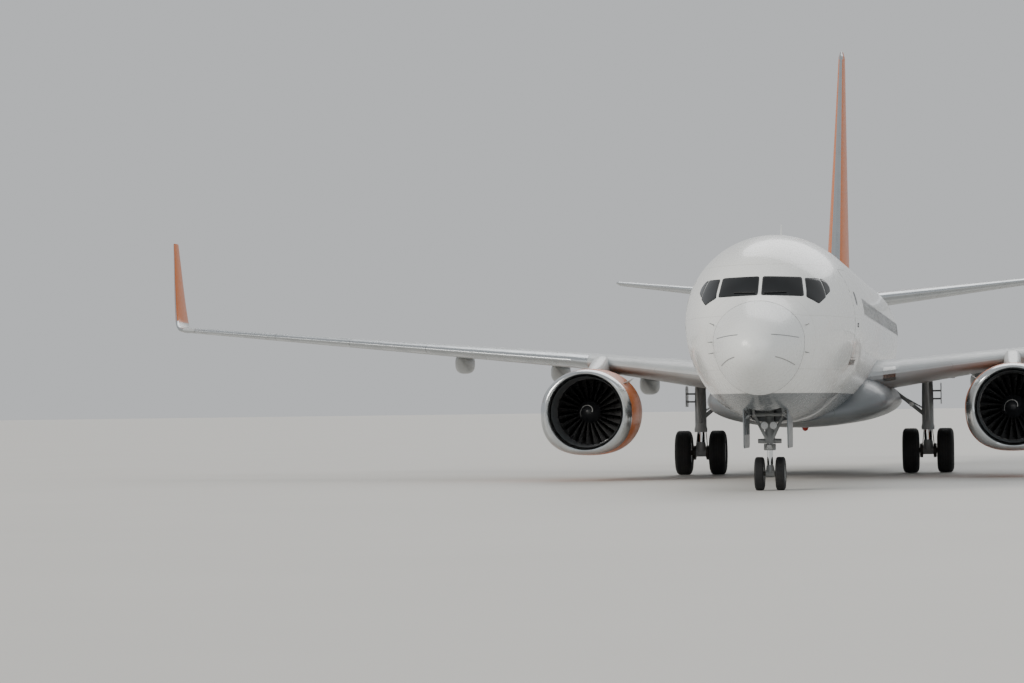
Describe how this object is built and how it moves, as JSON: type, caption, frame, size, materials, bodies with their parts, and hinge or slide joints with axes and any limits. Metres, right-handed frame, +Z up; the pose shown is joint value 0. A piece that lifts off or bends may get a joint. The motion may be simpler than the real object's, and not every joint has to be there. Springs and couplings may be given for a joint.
{
  "type": "twin-engine narrow-body airliner",
  "caption": "Single-aisle passenger jet parked on its landing gear, with underwing turbofans, upturned wing tips and hinged control surfaces.",
  "frame": {"origin": "on the ground below the middle of the aircraft's length, on its centre plane", "axes": "+X to the aircraft's left, +Y aft, +Z up"},
  "size_m": [35.8306, 39.47, 12.55],
  "materials": {
    "white": "gloss",
    "belly_grey": "satin",
    "orange": "gloss",
    "wing_grey": "satin",
    "bare_metal": "polished",
    "glass": "gloss",
    "gear_grey": "satin",
    "tyre": "matte",
    "titanium": "satin"
  },
  "bodies": {
    "airframe": {"fuselage": "white", "radome": "white", "entry_door_forward_left": "white", "entry_door_aft_left": "white", "service_door_forward_right": "white", "service_door_aft_right": "white", "cargo_door_forward": "white", "cargo_door_aft": "white", "pylon_left": "white", "pylon_right": "white", "belly_fairing": "belly_grey", "nose_gear_door_left": "belly_grey", "nose_gear_door_right": "belly_grey", "fin": "orange", "winglet_left": "orange", "winglet_right": "orange", "nacelle_left": "orange", "nacelle_right": "orange", "wing_left": "wing_grey", "wing_right": "wing_grey", "flap_inboard_left": "wing_grey", "flap_inboard_right": "wing_grey", "flap_outboard_left": "wing_grey", "flap_outboard_right": "wing_grey", "tailplane_left": "wing_grey", "tailplane_right": "wing_grey", "tail_cone": "bare_metal", "slats_left": "bare_metal", "slats_right": "bare_metal", "inlet_lip_left": "bare_metal", "inlet_lip_right": "bare_metal", "windscreen_left": "glass", "windscreen_right": "glass", "side_window_forward_left": "glass", "side_window_forward_right": "glass", "side_window_aft_left": "glass", "side_window_aft_right": "glass", "nose_leg": "gear_grey", "main_leg_left": "gear_grey", "main_leg_right": "gear_grey", "engine_core_left": "titanium", "engine_core_right": "titanium"},
    "nose_fork": {"nose_fork": "gear_grey"},
    "nose_wheels": {"nose_wheels": "tyre"},
    "main_wheels_left": {"main_wheels_left": "tyre"},
    "main_wheels_right": {"main_wheels_right": "tyre"},
    "fan_left": {"fan_left": "titanium"},
    "fan_right": {"fan_right": "titanium"},
    "rudder": {"rudder": "orange"},
    "elevator_left": {"elevator_left": "wing_grey"},
    "elevator_right": {"elevator_right": "wing_grey"},
    "aileron_left": {"aileron_left": "wing_grey"},
    "aileron_right": {"aileron_right": "wing_grey"},
    "overwing_exit_1_left": {"overwing_exit_1_left": "white"},
    "overwing_exit_1_right": {"overwing_exit_1_right": "white"},
    "overwing_exit_2_left": {"overwing_exit_2_left": "white"},
    "overwing_exit_2_right": {"overwing_exit_2_right": "white"}
  },
  "joints": [
    {"name": "nose_steering", "type": "hinge", "parent": "airframe", "child": "nose_fork", "pos_m": [0, -15.735, 0.9], "axis": [0, 0, 1], "range_deg": [-78, 78]},
    {"name": "nose_wheels_spin", "type": "hinge", "parent": "nose_fork", "child": "nose_wheels", "pos_m": [0, -15.735, 0.343], "axis": [1, 0, 0], "continuous": true},
    {"name": "main_wheels_left_spin", "type": "hinge", "parent": "airframe", "child": "main_wheels_left", "pos_m": [2.86, -0.135, 0.56], "axis": [1, 0, 0], "continuous": true},
    {"name": "fan_left_spin", "type": "hinge", "parent": "airframe", "child": "fan_left", "pos_m": [4.97, -5.735, 1.64], "axis": [0, 1, 0], "continuous": true},
    {"name": "main_wheels_right_spin", "type": "hinge", "parent": "airframe", "child": "main_wheels_right", "pos_m": [-2.86, -0.135, 0.56], "axis": [1, 0, 0], "continuous": true},
    {"name": "fan_right_spin", "type": "hinge", "parent": "airframe", "child": "fan_right", "pos_m": [-4.97, -5.735, 1.64], "axis": [0, 1, 0], "continuous": true},
    {"name": "rudder_hinge", "type": "hinge", "parent": "airframe", "child": "rudder", "pos_m": [0, 15.627, 5.65], "axis": [0, 0.3733, 0.9277], "range_deg": [-26, 26]},
    {"name": "elevator_left_hinge", "type": "hinge", "parent": "airframe", "child": "elevator_left", "pos_m": [1.15, 16.885, 4.86985], "axis": [0.9179, 0.3799, 0.1146], "range_deg": [-20, 20]},
    {"name": "aileron_left_hinge", "type": "hinge", "parent": "airframe", "child": "aileron_left", "pos_m": [12, 2.025, 3.49101], "axis": [0.9191, 0.3847, 0.0854], "range_deg": [-20, 20]},
    {"name": "elevator_right_hinge", "type": "hinge", "parent": "airframe", "child": "elevator_right", "pos_m": [-1.15, 16.885, 4.86985], "axis": [-0.9179, 0.3799, 0.1146], "range_deg": [-20, 20]},
    {"name": "aileron_right_hinge", "type": "hinge", "parent": "airframe", "child": "aileron_right", "pos_m": [-12, 2.025, 3.49101], "axis": [-0.9191, 0.3847, 0.0854], "range_deg": [-20, 20]},
    {"name": "overwing_exit_1_left_hinge", "type": "hinge", "parent": "airframe", "child": "overwing_exit_1_left", "pos_m": [1.77829, -2.835, 4.09], "axis": [0, -1, 0], "range_deg": [0, 80]},
    {"name": "overwing_exit_1_right_hinge", "type": "hinge", "parent": "airframe", "child": "overwing_exit_1_right", "pos_m": [-1.77829, -2.835, 4.09], "axis": [0, 1, 0], "range_deg": [0, 80]},
    {"name": "overwing_exit_2_left_hinge", "type": "hinge", "parent": "airframe", "child": "overwing_exit_2_left", "pos_m": [1.77829, -1.835, 4.09], "axis": [0, -1, 0], "range_deg": [0, 80]},
    {"name": "overwing_exit_2_right_hinge", "type": "hinge", "parent": "airframe", "child": "overwing_exit_2_right", "pos_m": [-1.77829, -1.835, 4.09], "axis": [0, 1, 0], "range_deg": [0, 80]}
  ]
}
